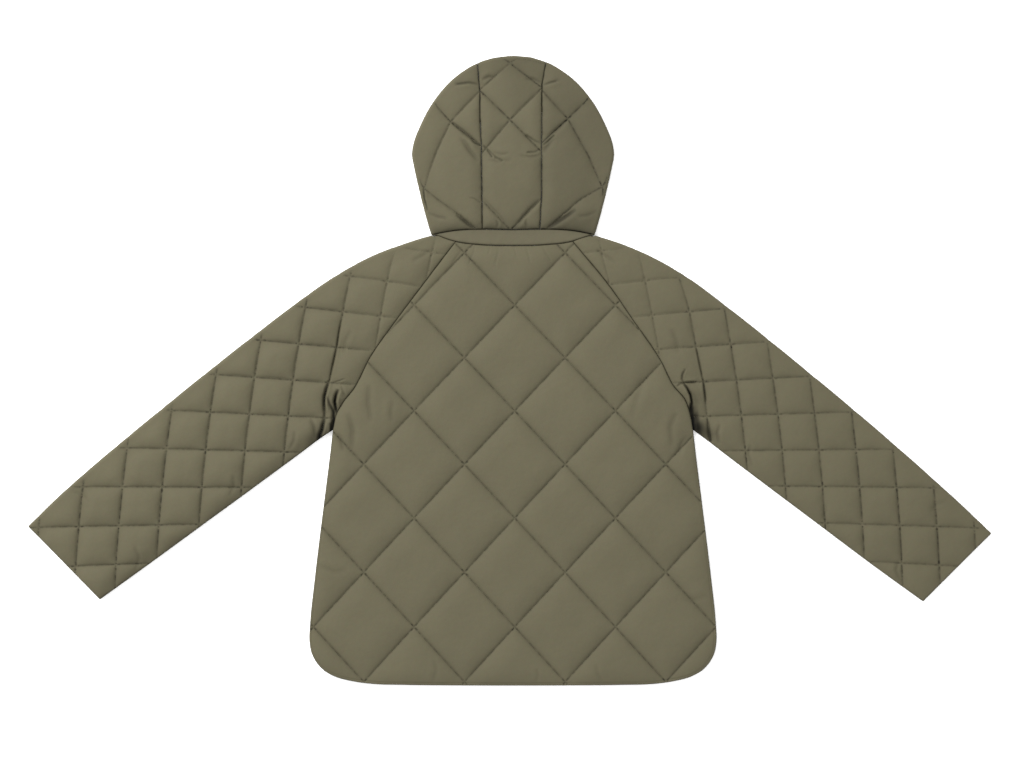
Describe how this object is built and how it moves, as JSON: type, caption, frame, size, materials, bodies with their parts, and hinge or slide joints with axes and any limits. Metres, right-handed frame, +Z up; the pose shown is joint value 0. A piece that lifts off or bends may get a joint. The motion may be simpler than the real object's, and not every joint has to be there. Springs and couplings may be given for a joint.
{
  "type": "quilted jacket",
  "caption": "Hooded raglan quilted jacket laid flat, back up: diamond quilted body, square quilted sleeves, rounded hem, gusseted hood.",
  "frame": {"origin": "on the surface the jacket lies on, under the centre line of the body and half way along its length from the hem to the top of the hood", "axes": "+X towards the wearer's right hand, +Y towards the hood, +Z up out of the jacket's back, which faces up"},
  "size_m": [1.4139, 0.926, 0.0128],
  "materials": {
    "olive_nylon": "satin woven nylon, quilted",
    "olive_nylon_sleeve": "satin woven nylon, quilted",
    "olive_nylon_plain": "satin woven nylon, not quilted",
    "dark_stud": "painted press stud, semi gloss"
  },
  "bodies": {
    "root": {"back": "olive_nylon", "front_left": "olive_nylon", "front_right": "olive_nylon", "sleeve_left": "olive_nylon_sleeve", "sleeve_right": "olive_nylon_sleeve", "collar": "olive_nylon_plain", "hood_centre": "olive_nylon", "hood_left": "olive_nylon", "hood_right": "olive_nylon", "stud_1": "dark_stud", "stud_2": "dark_stud", "stud_3": "dark_stud", "stud_4": "dark_stud", "stud_5": "dark_stud"}
  },
  "joints": []
}
